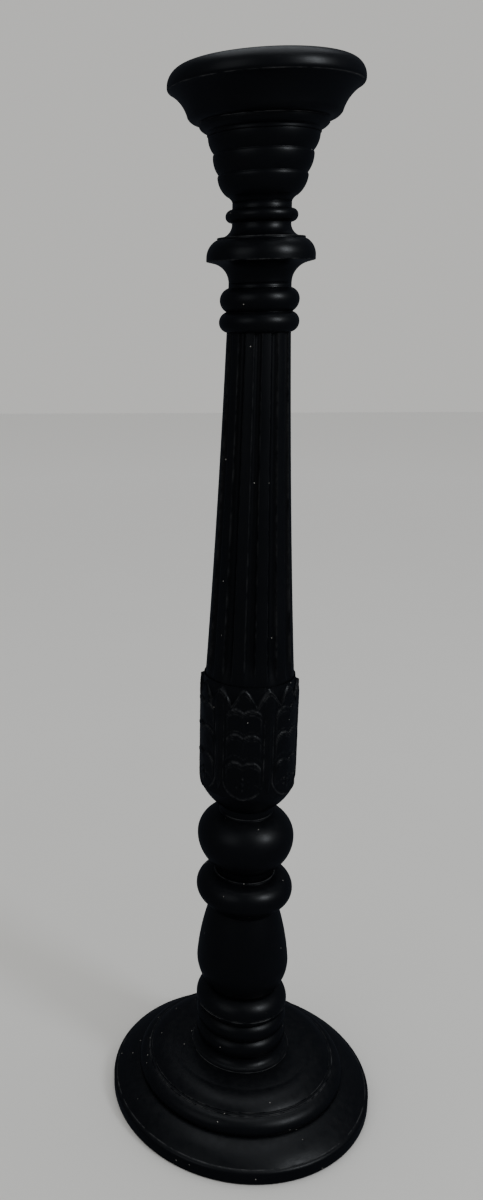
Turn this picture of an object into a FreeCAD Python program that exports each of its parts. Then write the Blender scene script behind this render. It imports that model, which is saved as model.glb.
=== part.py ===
import FreeCAD, Part
import os
import Sketcher

# Floor-standing pillar candle holder: turned wooden pieces stacked on a central
# threaded rod, with a loose metal pan in the cup. Millimetres, +Z up, origin at
# the middle of the face that it stands on.

doc = FreeCAD.newDocument("PillarCandleHolder")

# ---------------------------------------------------------------- driving sizes
SIZES = {
    # felt under the base
    "felt_thick": 0.8,
    "felt_inset": 2.0,
    # plinth
    "plinth_r": 124.1,
    "plinth_rise": 25.2,
    "plinth_edge": 13.2,
    "edge_round": 3.2,
    # dome on the plinth
    "dome_r": 98.2,
    "dome_inset": 1.8,
    "dome_rise": 25.2,
    "ovolo_rise": 14.6,
    "line_inset": 9.8,
    "line_step": 2.4,
    "shoulder": 20.0,
    "crest": 1.0,
    # three rings at the foot of the stem
    "foot_flare_r": 46.5,
    "flare_edge": 0.9,
    "foot_cove": 9.2,
    "foot_ring": 18.0,
    "foot_ring_r": 42.4,
    "foot_groove_r": 37.6,
    "foot_band": 8.0,
    "foot_band_r": 42.8,
    "line_cut": 0.6,
    "foot_cushion": 14.8,
    "foot_top_r": 33.0,
    # vase
    "vase_rise": 86.6,
    "vase_foot_r": 30.6,
    "vase_belly_r": 42.7,
    "vase_belly_at": 28.6,
    "vase_neck_r": 31.4,
    # ring over the vase
    "torus_rise": 36.0,
    "torus_r": 44.0,
    "torus_belly_at": 19.4,
    "torus_neck_r": 32.4,
    "torus_neck": 6.2,
    "torus_neck_out": 4.0,
    "thin_fillet": 1.8,
    "torus_fillet_r": 27.6,
    # ball
    "ball_rise": 62.0,
    "ball_r": 43.5,
    "ball_belly_at": 36.6,
    "ball_neck_r": 25.6,
    "ball_neck": 8.0,
    "ball_neck_out": 2.8,
    "ball_fillet_r": 24.2,
    # carved leaf cup
    "leaf_neck_r": 24.0,
    "leaf_neck": 6.5,
    "leaf_rise": 119.0,
    "leaf_wall": 3.7,
    "leaf_round": 29.0,
    "leaf_tip": 13.0,
    "leaf_tip_in": 1.8,
    # fluted column
    "column_rise": 300.0,
    "column_foot_r": 39.2,
    "column_waist": 1.1,
    "column_head_r": 25.4,
    "flute_count": 12,
    "flute_foot_r": 4.7,
    "flute_head_r": 3.2,
    "flute_out": 0.7,
    # two rings over the column
    "head_ring": 15.6,
    "head_ring_r": 31.4,
    "head_groove_r": 25.8,
    "head_upper": 18.0,
    "head_upper_r": 31.0,
    "head_neck": 3.4,
    "neck_r": 24.4,
    # broad collar
    "collar_cove": 15.0,
    "collar_under": 1.4,
    "collar_under_r": 36.4,
    "collar_r": 42.0,
    "collar_edge": 3.2,
    "collar_round": 12.4,
    "collar_top_r": 34.8,
    # bead
    "bead_cove": 8.5,
    "bead_gap": 2.1,
    "bead_tall": 9.6,
    "bead_r": 27.7,
    "bead_neck": 5.2,
    "bead_neck_r": 22.6,
    # tiered bell
    "bell_cove": 4.4,
    "bell_cove_r": 27.0,
    "tier_low": 19.6,
    "tier_low_r": 34.3,
    "tier_mid": 15.0,
    "tier_mid_r": 38.0,
    "tier_top": 12.2,
    "tier_top_r": 41.9,
    "tier_notch": 0.7,
    # candle cup
    "cup_foot": 2.6,
    "cup_ledge": 3.8,
    "ledge_out": 6.5,
    "ledge_edge": 3.0,
    "cup_bowl": 4.2,
    "bowl_in": 15.6,
    "cup_cove": 18.4,
    "lip_r": 73.0,
    "lip_ease": 0.8,
    "lip_low": 3.0,
    "lip_rise": 12.0,
    "lip_top": 9.0,
    "cup_wall": 11.0,
    "mouth_ease": 1.5,
    "cup_depth": 14.0,
    # pan and spike
    "pan_thick": 1.0,
    "pan_wall": 8.5,
    "pan_bend": 2.5,
    "pan_gap": 0.5,
    "spike_r": 2.4,
    "spike_flange": 2.4,
    "spike_head": 1.4,
    "spike_rise": 11.0,
    "spike_tip_r": 0.4,
    # rods, joints and fixings
    "rod_r": 5.0,
    "rod_gap": 0.75,
    "thread_gap": 0.05,
    "spigot_r": 15.0,
    "spigot_long": 8.0,
    "joint_gap": 0.15,
    "hardware_gap": 1.5,
    "washer_r": 12.5,
    "washer_thick": 2.0,
    "nut_flats": 17.0,
    "nut_tall": 8.0,
    "coupling_long": 30.0,
    "screw_ring_r": 62.0,
    "screw_r": 2.2,
    "screw_head_r": 4.4,
    "screw_head": 3.0,
    "screw_long": 34.0,
    "screw_count": 4,
}

sheet = doc.addObject("Spreadsheet::Sheet", "d")
for row, (alias, size) in enumerate(SIZES.items(), start=1):
    sheet.set("A%d" % row, alias)
    sheet.set("B%d" % row, str(size))
    sheet.setAlias("B%d" % row, alias)
doc.recompute()


ROUND = "round"    # outward arc, upright at its belly
HOLLOW = "hollow"  # inward arc, upright at its neck

# bows of the other arcs, as the share of the chord that the arc rises
FAINT = 0.03
SLIGHT = 0.06
SHALLOW = 0.1
PLUMP = 0.15
EASED = 0.2
ROLLED = 0.5


# ---------------------------------------------------------------- helpers
def measure(expression):
    """Value of a sheet expression, in millimetres."""
    return float(sheet.evalExpression(expression))


def plane(body, role):
    """Origin plane of a body, such as XZ_Plane."""
    return next(f for f in body.Origin.OriginFeatures if f.Role == role)


def new_body(name, level):
    """Body with its own label, lifted to a level given as a sheet expression."""
    body = doc.addObject("PartDesign::Body", name)
    body.Label = name
    body.setExpression("Placement.Base.z", level)
    return body


def new_sketch(body, name, role):
    """Empty sketch on one of the body's own origin planes."""
    sketch = body.newObject("Sketcher::SketchObject", name)
    sketch.AttachmentSupport = (plane(body, role), [""])
    sketch.MapMode = "FlatFace"
    return sketch


def bind(sketch, index, expression):
    """Tie one sketch constraint to the sheet."""
    sketch.setExpression("Constraints[%d]" % index, expression)


def pin_point(sketch, geometry, end, x_expression, y_expression):
    """Hold a sketch point at two sheet expressions."""
    for kind, expression in (("DistanceX", x_expression), ("DistanceY", y_expression)):
        value = measure(expression)
        if abs(value) < 1e-9:
            axis = -2 if kind == "DistanceX" else -1
            sketch.addConstraint(Sketcher.Constraint("PointOnObject", geometry, end, axis))
        else:
            constraint = Sketcher.Constraint(kind, -1, 1, geometry, end, value)
            bind(sketch, sketch.addConstraint(constraint), expression)


def upright(start, end):
    """Bow of an arc that stands upright at its wider or its narrower end."""
    (r0, z0), (r1, z1) = start, end
    return "tan(atan(abs((%s) - (%s)) / abs((%s) - (%s))) / 2) / 2" % (r1, r0, z1, z0)


def crown(start, end, bow):
    """Top of an arc whose rise is bow times its chord, to the right of its way."""
    (r0, z0), (r1, z1) = start, end
    if bow == ROUND:
        bow = upright(start, end)
    if bow == HOLLOW:
        bow = "-" + upright(start, end)
    x = "((%s) + (%s)) / 2 + (%s) * ((%s) - (%s))" % (r0, r1, bow, z1, z0)
    y = "((%s) + (%s)) / 2 - (%s) * ((%s) - (%s))" % (z0, z1, bow, r1, r0)
    return x, y


def outline(sketch, points):
    """Closed outline of lines and arcs. Each point is (x, y, bow of the edge that ends there)."""
    ends = []
    for number, (x, y, bow) in enumerate(points):
        before = points[number - 1][:2]
        first = FreeCAD.Vector(measure(before[0]), measure(before[1]), 0)
        last = FreeCAD.Vector(measure(x), measure(y), 0)
        if bow:
            top = crown(before, (x, y), bow)
            middle = FreeCAD.Vector(measure(top[0]), measure(top[1]), 0)
            edge = sketch.addGeometry(Part.Arc(first, middle, last), False)
            mark = sketch.addGeometry(Part.Point(middle), True)
            sketch.addConstraint(Sketcher.Constraint("PointOnObject", mark, 1, edge))
            pin_point(sketch, mark, 1, *top)
            outward = bow == ROUND or (bow != HOLLOW and measure(str(bow)) > 0)
            ends.append((edge, 1, 2) if outward else (edge, 2, 1))
        else:
            edge = sketch.addGeometry(Part.LineSegment(first, last), False)
            ends.append((edge, 1, 2))
    for number, (x, y, bow) in enumerate(points):
        edge, start, end = ends[number]
        following, next_start, next_end = ends[(number + 1) % len(ends)]
        sketch.addConstraint(Sketcher.Constraint("Coincident", edge, end, following, next_start))
        pin_point(sketch, edge, end, x, y)


def turned(name, level, points):
    """Solid of revolution about Z from a half outline."""
    body = new_body(name, level)
    sketch = new_sketch(body, name + "_outline", "XZ_Plane")
    outline(sketch, points)
    revolution = body.newObject("PartDesign::Revolution", name + "_turning")
    revolution.Profile = sketch
    revolution.ReferenceAxis = (sketch, ["V_Axis"])
    revolution.Angle = 360
    return body


def circle_at(sketch, radius, x_expression="0", y_expression="0"):
    """Circle whose radius and centre come from the sheet."""
    centre = FreeCAD.Vector(measure(x_expression), measure(y_expression), 0)
    edge = sketch.addGeometry(Part.Circle(centre, FreeCAD.Vector(0, 0, 1), measure(radius)), False)
    bind(sketch, sketch.addConstraint(Sketcher.Constraint("Radius", edge, measure(radius))), radius)
    pin_point(sketch, edge, 3, x_expression, y_expression)


def hexagon(name, level, flats, tall, bore):
    """Hexagonal nut with a round bore, standing on its level."""
    body = new_body(name, level)
    sketch = new_sketch(body, name + "_hexagon", "XY_Plane")
    corner = "%s / sqrt(3)" % flats
    for number in range(6):
        spots = []
        for step in (number, number + 1):
            turn = 60 * (step % 6)
            spots.append(("%s * cos(%d deg)" % (corner, turn), "%s * sin(%d deg)" % (corner, turn)))
        first, last = (FreeCAD.Vector(measure(x), measure(y), 0) for x, y in spots)
        edge = sketch.addGeometry(Part.LineSegment(first, last), False)
        pin_point(sketch, edge, 1, *spots[0])
        if number:
            sketch.addConstraint(Sketcher.Constraint("Coincident", edge - 1, 2, edge, 1))
    sketch.addConstraint(Sketcher.Constraint("Coincident", 5, 2, 0, 1))
    circle_at(sketch, bore)
    pad = body.newObject("PartDesign::Pad", name + "_pad")
    pad.Profile = sketch
    pad.setExpression("Length", tall)
    return body


def cut_round(body, name, radius, depth, x_expression="0"):
    """Round pocket from the body's own ground plane upwards."""
    sketch = new_sketch(body, name + "_circle", "XY_Plane")
    circle_at(sketch, radius, x_expression)
    doc.recompute()
    before = body.Shape.Volume
    pocket = body.newObject("PartDesign::Pocket", name)
    pocket.Profile = sketch
    pocket.Reversed = True
    pocket.setExpression("Length", depth)
    doc.recompute()
    if body.Shape.Volume >= before:
        raise RuntimeError(name + " cut nothing")
    return pocket


def around(body, name, features, count):
    """Repeat features about the body's own Z axis."""
    pattern = body.newObject("PartDesign::PolarPattern", name)
    pattern.Originals = features
    pattern.Axis = (plane(body, "Z_Axis"), [""])
    pattern.Angle = 360
    pattern.setExpression("Occurrences", count)
    body.Tip = pattern
    return pattern


def total(*terms):
    """Sum of sheet expressions."""
    return " + ".join(terms)


# ---------------------------------------------------------------- shared sizes
BORE = "d.rod_r + d.rod_gap"
THREAD = "d.rod_r + d.thread_gap"
SPIGOT = "d.spigot_r"
SOCKET = "d.spigot_r + d.joint_gap"
SOCKET_DEEP = "d.spigot_long + d.hardware_gap"
POCKET_R = "d.washer_r + d.hardware_gap"
POCKET_DEEP = "d.washer_thick + d.nut_tall + d.hardware_gap"
COUPLING_R = "d.nut_flats / sqrt(3) + d.hardware_gap"
COUPLING_DEEP = "d.coupling_long + 2 * d.hardware_gap"

RISES = {
    "base_plinth": "d.plinth_rise",
    "base_dome": "d.dome_rise",
    "foot_collar": "d.foot_cove + 2 * d.foot_ring + d.foot_band + 2 * d.line_cut + d.foot_cushion",
    "vase": "d.vase_rise",
    "torus_ring": "d.torus_rise",
    "ball": "d.ball_rise",
    "leaf_cup": "d.leaf_rise",
    "fluted_column": "d.column_rise",
    "column_cap": "d.head_ring + d.head_upper + d.head_neck",
    "collar_disc": "d.collar_cove + d.collar_under + d.collar_edge + d.collar_round + d.thin_fillet",
    "bead_neck": "d.bead_cove + d.bead_gap + d.bead_tall + d.bead_neck",
    "tiered_bell": "d.tier_low + d.tier_mid + d.tier_top",
    "candle_cup": "d.cup_foot + d.cup_ledge + d.ledge_edge + d.cup_bowl"
                  " + d.cup_cove + d.lip_low + d.lip_rise",
}

LEVELS = {}
level = "d.felt_thick"
for piece, rise in RISES.items():
    LEVELS[piece] = level
    level = total(level, rise)


# first points of an outline: the bore, then the socket for the spigot below
FOOT = [(BORE, SOCKET_DEEP, 0), (SOCKET, SOCKET_DEEP, 0), (SOCKET, "0", 0)]


def head_of(piece):
    """Last points of an outline: the spigot on top, then the bore."""
    rise = RISES[piece]
    return [
        (SPIGOT, rise, 0),
        (SPIGOT, total(rise, "d.spigot_long"), 0),
        (BORE, total(rise, "d.spigot_long"), 0),
    ]


def stacked(piece, points):
    """Turned piece with a socket below and a spigot on top."""
    return turned(piece, LEVELS[piece], FOOT + points + head_of(piece))


def bead(belly_r, high_r, start, tall):
    """Two arcs of a half-round bead, from start upwards."""
    return [
        (belly_r, total(start, "(%s) / 2" % tall), ROUND),
        (high_r, total(start, tall), ROUND),
    ]


# ---------------------------------------------------------------- base
def base_felt():
    """Felt ring glued under the plinth, open at the nut."""
    body = new_body("base_felt", "0")
    sketch = new_sketch(body, "felt_ring", "XY_Plane")
    circle_at(sketch, "d.plinth_r - d.felt_inset")
    circle_at(sketch, total(POCKET_R, "d.hardware_gap"))
    pad = body.newObject("PartDesign::Pad", "felt_pad")
    pad.Profile = sketch
    pad.setExpression("Length", "d.felt_thick")


def base_plinth():
    """Broad turned disc with an eased edge and a gently crowned top."""
    rise = RISES["base_plinth"]
    body = turned("base_plinth", LEVELS["base_plinth"], [
        (BORE, POCKET_DEEP, 0),
        (POCKET_R, POCKET_DEEP, 0),
        (POCKET_R, "0", 0),
        ("d.plinth_r", "0", 0),
        ("d.plinth_r", "d.plinth_edge - d.edge_round", 0),
        ("d.plinth_r - d.edge_round", "d.plinth_edge", EASED),
        ("d.dome_r - d.line_step / 2", rise, SLIGHT),
    ] + head_of("base_plinth"))
    doc.recompute()
    hole = cut_round(body, "screw_hole", "d.screw_r + d.joint_gap", rise, "d.screw_ring_r")
    head_room = "d.screw_head + d.thread_gap + d.joint_gap"
    seat = cut_round(body, "screw_seat", "d.screw_head_r + d.joint_gap", head_room, "d.screw_ring_r")
    around(body, "screw_holes", [hole, seat], "d.screw_count")


def base_dome():
    """Ovolo, two fine lines and a low dome, screwed to the plinth."""
    line_r = "d.dome_r - d.line_inset"
    inner_r = line_r + " - d.line_step"
    step = "d.line_step / 2"
    line_top = total("d.ovolo_rise", "d.line_step")
    body = stacked("base_dome", [
        ("d.dome_r - d.dome_inset", "0", 0),
        ("d.dome_r", "d.ovolo_rise / 3", ROUND),
        (line_r, "d.ovolo_rise", PLUMP),
        (line_r, total("d.ovolo_rise", step), 0),
        (inner_r, total("d.ovolo_rise", step), 0),
        (inner_r, line_top, 0),
        (inner_r + " - d.shoulder", "d.dome_rise - d.crest", SHALLOW),
        ("d.foot_flare_r + d.crest", "d.dome_rise", FAINT),
    ])
    doc.recompute()
    deep = "d.screw_long + d.screw_head - d.plinth_rise"
    pilot = cut_round(body, "screw_pilot", "d.screw_r + d.thread_gap", deep, "d.screw_ring_r")
    around(body, "screw_pilots", [pilot], "d.screw_count")


def base_screws():
    """Screws up through the plinth into the dome."""
    body = new_body("base_screws", total(LEVELS["base_plinth"], "d.thread_gap"))
    body.AllowCompound = True
    pads = []
    for name, radius, length in (
        ("screw_heads", "d.screw_head_r", "d.screw_head"),
        ("screw_shanks", "d.screw_r", "d.screw_long"),
    ):
        sketch = new_sketch(body, name + "_circle", "XY_Plane")
        circle_at(sketch, radius, "d.screw_ring_r")
        pad = body.newObject("PartDesign::Pad", name)
        pad.Profile = sketch
        pad.setExpression("Length", length)
        doc.recompute()
        pads.append(pad)
    around(body, "screws_around", pads, "d.screw_count")


# ---------------------------------------------------------------- stem
def foot_collar():
    """Flared foot, two equal rings, a band with a fine line and a cushion."""
    ring_2 = total("d.foot_cove", "d.foot_ring")
    band = total(ring_2, "d.foot_ring")
    line = total(band, "d.foot_band")
    cushion = total(line, "2 * d.line_cut")
    stacked("foot_collar", [
        ("d.foot_flare_r", "0", 0),
        ("d.foot_flare_r", "d.flare_edge", 0),
        ("d.foot_groove_r", "d.foot_cove", HOLLOW),
    ] + bead("d.foot_ring_r", "d.foot_groove_r", "d.foot_cove", "d.foot_ring")
      + bead("d.foot_ring_r", "d.foot_groove_r", ring_2, "d.foot_ring")
      + [
        ("d.foot_band_r", line, ROUND),
        ("d.foot_band_r - d.line_cut", total(line, "d.line_cut"), 0),
        ("d.foot_band_r", cushion, 0),
        ("d.foot_top_r", total(cushion, "d.foot_cushion"), ROUND),
    ])


def vase():
    """Vase with its belly low down."""
    stacked("vase", [
        ("d.vase_foot_r", "0", 0),
        ("d.vase_belly_r", "d.vase_belly_at", ROUND),
        ("d.vase_neck_r", "d.vase_rise", FAINT),
    ])


def swell(piece, neck_r, neck, neck_out, belly_r, belly_at, fillet_r):
    """Swelling ring or ball on a short flared neck, with a thin fillet on top."""
    rise = RISES[piece]
    fillet_foot = rise + " - d.thin_fillet"
    stacked(piece, [
        (neck_r, "0", 0),
        (total(neck_r, neck_out), neck, 0),
        (belly_r, belly_at, ROUND),
        (fillet_r + " + d.thin_fillet / 2", fillet_foot, ROUND),
        (fillet_r, fillet_foot, 0),
        (fillet_r, rise, 0),
    ])


def leaf_cup():
    """Round-bottomed cup for the carved leaves, with the coupling's pocket and the column's seat."""
    rise = RISES["leaf_cup"]
    tip = total(rise, "d.leaf_tip")
    outer = "d.column_foot_r + d.leaf_wall"
    seat_r = "d.column_foot_r + d.joint_gap"
    coupling_floor = "%s - (%s)" % (rise, COUPLING_DEEP)
    turned("leaf_cup", LEVELS["leaf_cup"], FOOT + [
        ("d.leaf_neck_r", "0", 0),
        ("d.leaf_neck_r", "d.leaf_neck", 0),
        (outer, "d.leaf_round", SLIGHT),
        (outer, rise, 0),
        (outer + " - d.leaf_tip_in", tip, 0),
        (seat_r, tip, 0),
        (seat_r, rise, 0),
        (COUPLING_R, rise, 0),
        (COUPLING_R, coupling_floor, 0),
        (BORE, coupling_floor, 0),
    ])


def fluted_column():
    """Tapered column, slightly waisted, with round flutes along its whole length."""
    rise = RISES["fluted_column"]
    bow = "-d.column_waist / d.column_rise"
    points = [
        (BORE, "0", 0),
        ("d.column_foot_r", "0", 0),
        ("d.column_head_r", rise, bow),
    ]
    body = turned("fluted_column", LEVELS["fluted_column"], points + head_of("fluted_column"))
    sections = []
    for name, radius, edge, height in (
        ("flute_foot", "d.flute_foot_r", "d.column_foot_r", "0"),
        ("flute_head", "d.flute_head_r", "d.column_head_r", rise),
    ):
        sketch = new_sketch(body, name, "XY_Plane")
        sketch.setExpression("AttachmentOffset.Base.z", height)
        circle_at(sketch, radius, edge + " + d.flute_out")
        sections.append(sketch)
    doc.recompute()
    before = body.Shape.Volume
    flute = body.newObject("PartDesign::SubtractiveLoft", "flute")
    flute.Profile = sections[0]
    flute.Sections = sections[1:]
    flute.Ruled = True
    doc.recompute()
    if body.Shape.Volume >= before:
        raise RuntimeError("flute cut nothing")
    around(body, "flutes", [flute], "d.flute_count")


def column_cap():
    """Two rings and a short neck."""
    rings = total("d.head_ring", "d.head_upper")
    stacked("column_cap", [("d.head_groove_r", "0", 0)]
        + bead("d.head_ring_r", "d.head_groove_r", "0", "d.head_ring")
        + bead("d.head_upper_r", "d.neck_r", "d.head_ring", "d.head_upper")
        + [("d.neck_r", total(rings, "d.head_neck"), 0)])


def collar_disc():
    """Cove, flat underside and a quarter-round rim with a thin fillet."""
    rise = RISES["collar_disc"]
    edge_foot = total("d.collar_cove", "d.collar_under")
    edge_top = total(edge_foot, "d.collar_edge")
    fillet_foot = rise + " - d.thin_fillet"
    fillet_r = "d.collar_top_r - d.thin_fillet / 2"
    stacked("collar_disc", [
        ("d.neck_r", "0", 0),
        ("d.collar_under_r", "d.collar_cove", HOLLOW),
        ("d.collar_r", edge_foot, 0),
        ("d.collar_r", edge_top, 0),
        ("d.collar_top_r", fillet_foot, ROUND),
        (fillet_r, fillet_foot, 0),
        (fillet_r, rise, 0),
    ])


def bead_neck():
    """Cove, bead and neck under the bell."""
    rise = RISES["bead_neck"]
    bead_foot = "d.bead_cove + d.bead_gap"
    stacked("bead_neck", [
        ("d.collar_top_r - d.thin_fillet", "0", 0),
        ("d.bead_neck_r", "d.bead_cove", -EASED),
        ("d.bead_neck_r", bead_foot, 0),
    ] + bead("d.bead_r", "d.bead_neck_r", bead_foot, "d.bead_tall")
      + [("d.bead_neck_r", rise, 0)])


def tiered_bell():
    """Three barrels, each wider than the one below."""
    rise = RISES["tiered_bell"]
    mid = total("d.tier_low", "d.tier_mid")
    stacked("tiered_bell", [
        ("d.bead_neck_r", "0", 0),
        ("d.bell_cove_r", "d.bell_cove", -SHALLOW),
        ("d.tier_low_r", "d.tier_low * 5 / 6", SHALLOW),
        ("d.tier_low_r - d.tier_notch", "d.tier_low", ROUND),
        ("d.tier_mid_r", "d.tier_low + d.tier_mid * 4 / 5", ROUND),
        ("d.tier_mid_r - d.tier_notch", mid, ROUND),
        ("d.tier_top_r", rise, ROUND),
    ])


# ---------------------------------------------------------------- cup and pan
def candle_cup():
    """Cup with a ledge, a coved bowl and a rounded lip, recessed for the pan."""
    ledge = total("d.cup_foot", "d.cup_ledge")
    bowl_foot = total(ledge, "d.ledge_edge")
    bowl_top = total(bowl_foot, "d.cup_bowl")
    lip_foot = total(bowl_top, "d.cup_cove")
    belly = total(lip_foot, "d.lip_low")
    rise = RISES["candle_cup"]
    mouth_r = "d.lip_r - d.cup_wall"
    floor = rise + " - d.cup_depth"
    pocket_floor = "%s - (%s)" % (floor, POCKET_DEEP)
    turned("candle_cup", LEVELS["candle_cup"], FOOT + [
        ("d.tier_top_r + d.tier_notch", "0", 0),
        ("d.tier_top_r + d.tier_notch", "d.cup_foot", 0),
        ("d.tier_top_r + d.ledge_out", ledge, SHALLOW),
        ("d.tier_top_r + d.ledge_out", bowl_foot, 0),
        ("d.lip_r - d.bowl_in", bowl_top, PLUMP),
        ("d.lip_r - d.lip_ease", lip_foot, -SHALLOW),
        ("d.lip_r", belly, SHALLOW),
        ("d.lip_r - d.lip_top", rise, ROUND),
        (mouth_r + " + d.mouth_ease", rise, 0),
        (mouth_r, rise + " - d.mouth_ease", EASED),
        (mouth_r, floor, 0),
        (POCKET_R, floor, 0),
        (POCKET_R, pocket_floor, 0),
        (BORE, pocket_floor, 0),
    ])


CUP_FLOOR = "%s + %s - d.cup_depth" % (LEVELS["candle_cup"], RISES["candle_cup"])


def candle_pan():
    """Pressed steel pan that lies loose in the cup."""
    outer = "d.lip_r - d.cup_wall - d.pan_gap"
    inner = outer + " - d.pan_thick"
    hole = "d.spike_r + d.thread_gap"
    turned("candle_pan", CUP_FLOOR, [
        (hole, "d.pan_thick", 0),
        (hole, "0", 0),
        (outer + " - d.pan_bend", "0", 0),
        (outer, "d.pan_bend", EASED),
        (outer, "d.pan_wall", 0),
        (inner, "d.pan_wall", -ROLLED),
        (inner, "d.pan_bend", 0),
        (outer + " - d.pan_bend", "d.pan_thick", -EASED),
    ])


def candle_spike():
    """Spike pressed up through the middle of the pan, with its head under it."""
    flange_r = "d.spike_r + d.spike_flange"
    turned("candle_spike", CUP_FLOOR, [
        ("0", "d.spike_rise", 0),
        ("0", "-d.spike_head", 0),
        (flange_r, "-d.spike_head", 0),
        (flange_r, "0", 0),
        ("d.spike_r", "0", 0),
        ("d.spike_r", "d.pan_thick + d.spike_head", 0),
        ("d.spike_tip_r", "d.spike_rise", 0),
    ])


# ---------------------------------------------------------------- fixings
def rod(name, foot, head):
    """Threaded rod between two levels."""
    cylinder = doc.addObject("Part::Cylinder", name)
    cylinder.Label = name
    cylinder.setExpression("Radius", "d.rod_r")
    cylinder.setExpression("Height", "(%s) - (%s)" % (head, foot))
    cylinder.setExpression("Placement.Base.z", foot)


def washer(name, level):
    """Flat washer on the rod."""
    turned(name, level, [
        (BORE, "0", 0),
        ("d.washer_r", "0", 0),
        ("d.washer_r", "d.washer_thick", 0),
        (BORE, "d.washer_thick", 0),
    ])


def fixings():
    """Rods, coupling, nuts and washers that hold the stack together."""
    leaf_top = total(LEVELS["leaf_cup"], RISES["leaf_cup"])
    coupling_foot = leaf_top + " - d.coupling_long - d.hardware_gap"
    coupling_middle = coupling_foot + " + d.coupling_long / 2"
    base_ceiling = total(LEVELS["base_plinth"], POCKET_DEEP)
    cup_pocket = "%s - (%s)" % (CUP_FLOOR, POCKET_DEEP)
    rod("lower_rod", total(LEVELS["base_plinth"], "d.hardware_gap / 2"), coupling_middle)
    rod("upper_rod", coupling_middle, CUP_FLOOR + " - d.spike_head - d.hardware_gap")
    hexagon("coupling_nut", coupling_foot, "d.nut_flats", "d.coupling_long", THREAD)
    washer("base_washer", base_ceiling + " - d.washer_thick")
    base_nut_foot = base_ceiling + " - d.washer_thick - d.nut_tall"
    hexagon("base_nut", base_nut_foot, "d.nut_flats", "d.nut_tall", THREAD)
    washer("cup_washer", cup_pocket)
    cup_nut_foot = total(cup_pocket, "d.washer_thick")
    hexagon("cup_nut", cup_nut_foot, "d.nut_flats", "d.nut_tall - d.spike_head", THREAD)


# ---------------------------------------------------------------- build
base_felt()
base_plinth()
base_dome()
base_screws()
foot_collar()
vase()
swell("torus_ring", "d.torus_neck_r", "d.torus_neck", "d.torus_neck_out",
      "d.torus_r", "d.torus_belly_at", "d.torus_fillet_r")
swell("ball", "d.ball_neck_r", "d.ball_neck", "d.ball_neck_out",
      "d.ball_r", "d.ball_belly_at", "d.ball_fillet_r")
leaf_cup()
fluted_column()
column_cap()
collar_disc()
bead_neck()
tiered_bell()
candle_cup()
candle_pan()
candle_spike()
fixings()
doc.recompute()

NODES = [o for o in doc.Objects if o.TypeId in ("PartDesign::Body", "Part::Cylinder")]
for thing in doc.Objects:
    if "Invalid" in thing.State or "Error" in thing.State:
        raise RuntimeError("%s failed: %s" % (thing.Label, thing.State))
for node in NODES:
    if node.Shape.isNull() or not node.Shape.isValid():
        raise RuntimeError(node.Label + " has no valid shape")

os.makedirs("parts", exist_ok=True)
for node in NODES:
    node.Shape.exportStep(os.path.join("parts", node.Label + ".step"))
    box = node.Shape.optimalBoundingBox(True)
    print("%-14s z %7.1f to %7.1f  r %6.1f  solids %d" % (
        node.Label, box.ZMin, box.ZMax, box.XMax, len(node.Shape.Solids)))
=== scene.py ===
import math
import bpy
from mathutils import Matrix, noise, Vector


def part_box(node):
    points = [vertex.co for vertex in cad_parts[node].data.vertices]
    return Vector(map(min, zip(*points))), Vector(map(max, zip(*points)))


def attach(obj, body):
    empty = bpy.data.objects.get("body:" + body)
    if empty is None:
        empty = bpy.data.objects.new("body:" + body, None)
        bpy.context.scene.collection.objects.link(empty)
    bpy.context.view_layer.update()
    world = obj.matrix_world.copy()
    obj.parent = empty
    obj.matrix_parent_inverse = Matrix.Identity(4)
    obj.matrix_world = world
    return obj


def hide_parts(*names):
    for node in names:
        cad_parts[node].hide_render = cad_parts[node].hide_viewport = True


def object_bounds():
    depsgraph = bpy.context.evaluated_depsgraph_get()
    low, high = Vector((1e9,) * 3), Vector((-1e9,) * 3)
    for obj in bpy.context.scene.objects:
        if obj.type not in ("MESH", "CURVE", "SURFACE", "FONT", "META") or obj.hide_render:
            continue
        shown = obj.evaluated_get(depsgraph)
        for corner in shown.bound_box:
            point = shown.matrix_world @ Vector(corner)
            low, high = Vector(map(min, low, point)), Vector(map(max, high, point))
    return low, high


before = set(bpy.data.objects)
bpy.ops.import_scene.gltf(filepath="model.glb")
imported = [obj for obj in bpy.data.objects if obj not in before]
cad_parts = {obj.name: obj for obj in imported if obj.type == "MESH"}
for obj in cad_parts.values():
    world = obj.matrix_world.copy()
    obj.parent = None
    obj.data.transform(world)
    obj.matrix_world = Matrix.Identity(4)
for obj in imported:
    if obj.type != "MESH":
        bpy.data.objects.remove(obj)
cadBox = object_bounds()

mm = 0.001
print("frame loaded,", len(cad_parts), "nodes")


# camera: metres and degrees, its lens and film in mm, its shift a share of the film
view = {
    "place": (0, -0.846, 0.7539),
    "down": 16.87,
    "left": 9.61,
    "roll": -1.29,
    "lens": 30.552,
    "film": 36,
    "shift": (0.129167, 0.004417),
}


def placeCamera():
    bpy.ops.object.camera_add()
    camera = bpy.context.object
    camera.data.sensor_width = view["film"]
    camera.data.lens = view["lens"]
    camera.data.shift_x, camera.data.shift_y = view["shift"]
    camera.data.clip_start = 0.01
    turn = Matrix.Rotation(math.radians(view["left"]), 4, "Z")
    turn = turn @ Matrix.Rotation(math.radians(90 - view["down"]), 4, "X")
    turn = turn @ Matrix.Rotation(math.radians(view["roll"]), 4, "Z")
    camera.matrix_world = Matrix.Translation(view["place"]) @ turn
    bpy.context.scene.camera = camera


placeCamera()


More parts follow.
